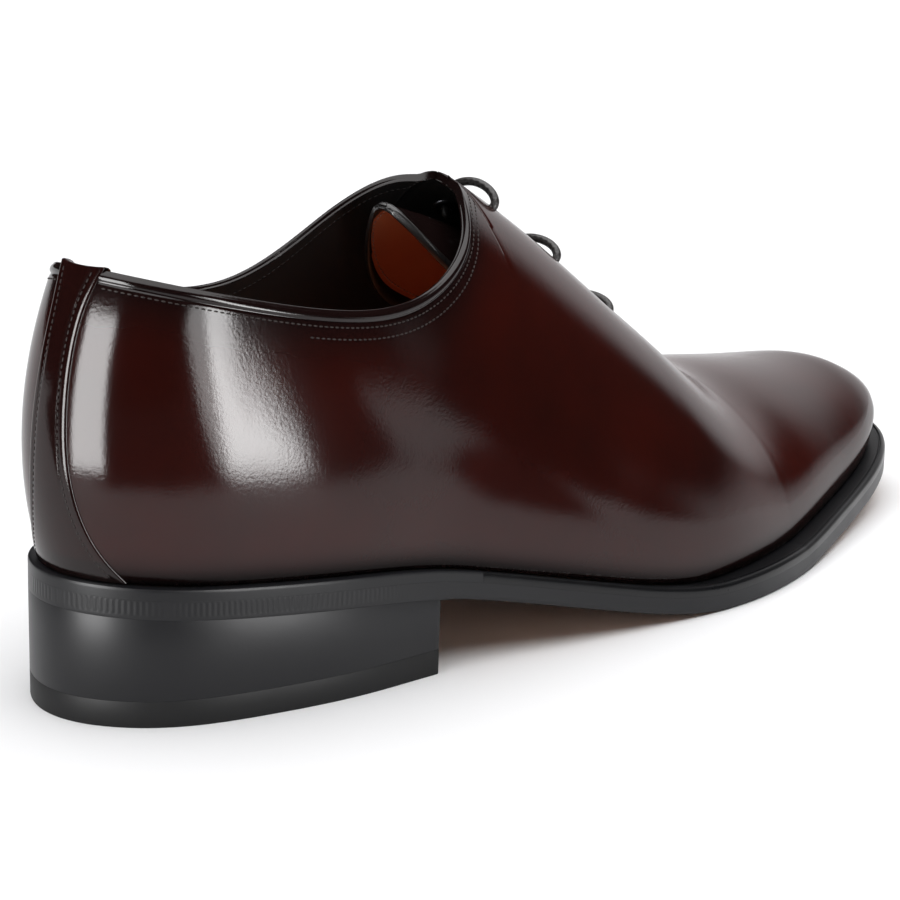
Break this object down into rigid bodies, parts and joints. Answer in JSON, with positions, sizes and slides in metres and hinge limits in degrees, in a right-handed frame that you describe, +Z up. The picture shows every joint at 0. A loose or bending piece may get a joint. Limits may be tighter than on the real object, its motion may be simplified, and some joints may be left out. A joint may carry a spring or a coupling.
{
  "type": "oxford shoe",
  "caption": "Man's right oxford shoe cut from one whole piece of dark calf, laced over a closed slit, on a welted leather sole with a stacked heel.",
  "frame": {"origin": "middle of the shoe's bounding box in plan, on the floor the sole rests on", "axes": "+Z up, +Y from the heel to the toe along the shoe's length, +X towards the little toe's side"},
  "size_m": [0.1052, 0.303, 0.1067],
  "materials": {
    "calf": "polished",
    "lining_leather": "matte",
    "sole_leather": "satin",
    "rubber": "matte",
    "waxed_cord": "waxed",
    "blackened_metal": "satin"
  },
  "bodies": {
    "root": {"outsole": "sole_leather", "welt": "sole_leather", "seat_rand": "sole_leather", "heel_block": "sole_leather", "top_piece": "rubber", "insole": "lining_leather", "upper": "calf", "back_strip": "calf", "tongue": "lining_leather", "eyelet_outer_1": "blackened_metal", "eyelet_outer_2": "blackened_metal", "eyelet_outer_3": "blackened_metal", "eyelet_inner_1": "blackened_metal", "eyelet_inner_2": "blackened_metal", "eyelet_inner_3": "blackened_metal", "lace": "waxed_cord"}
  },
  "joints": []
}
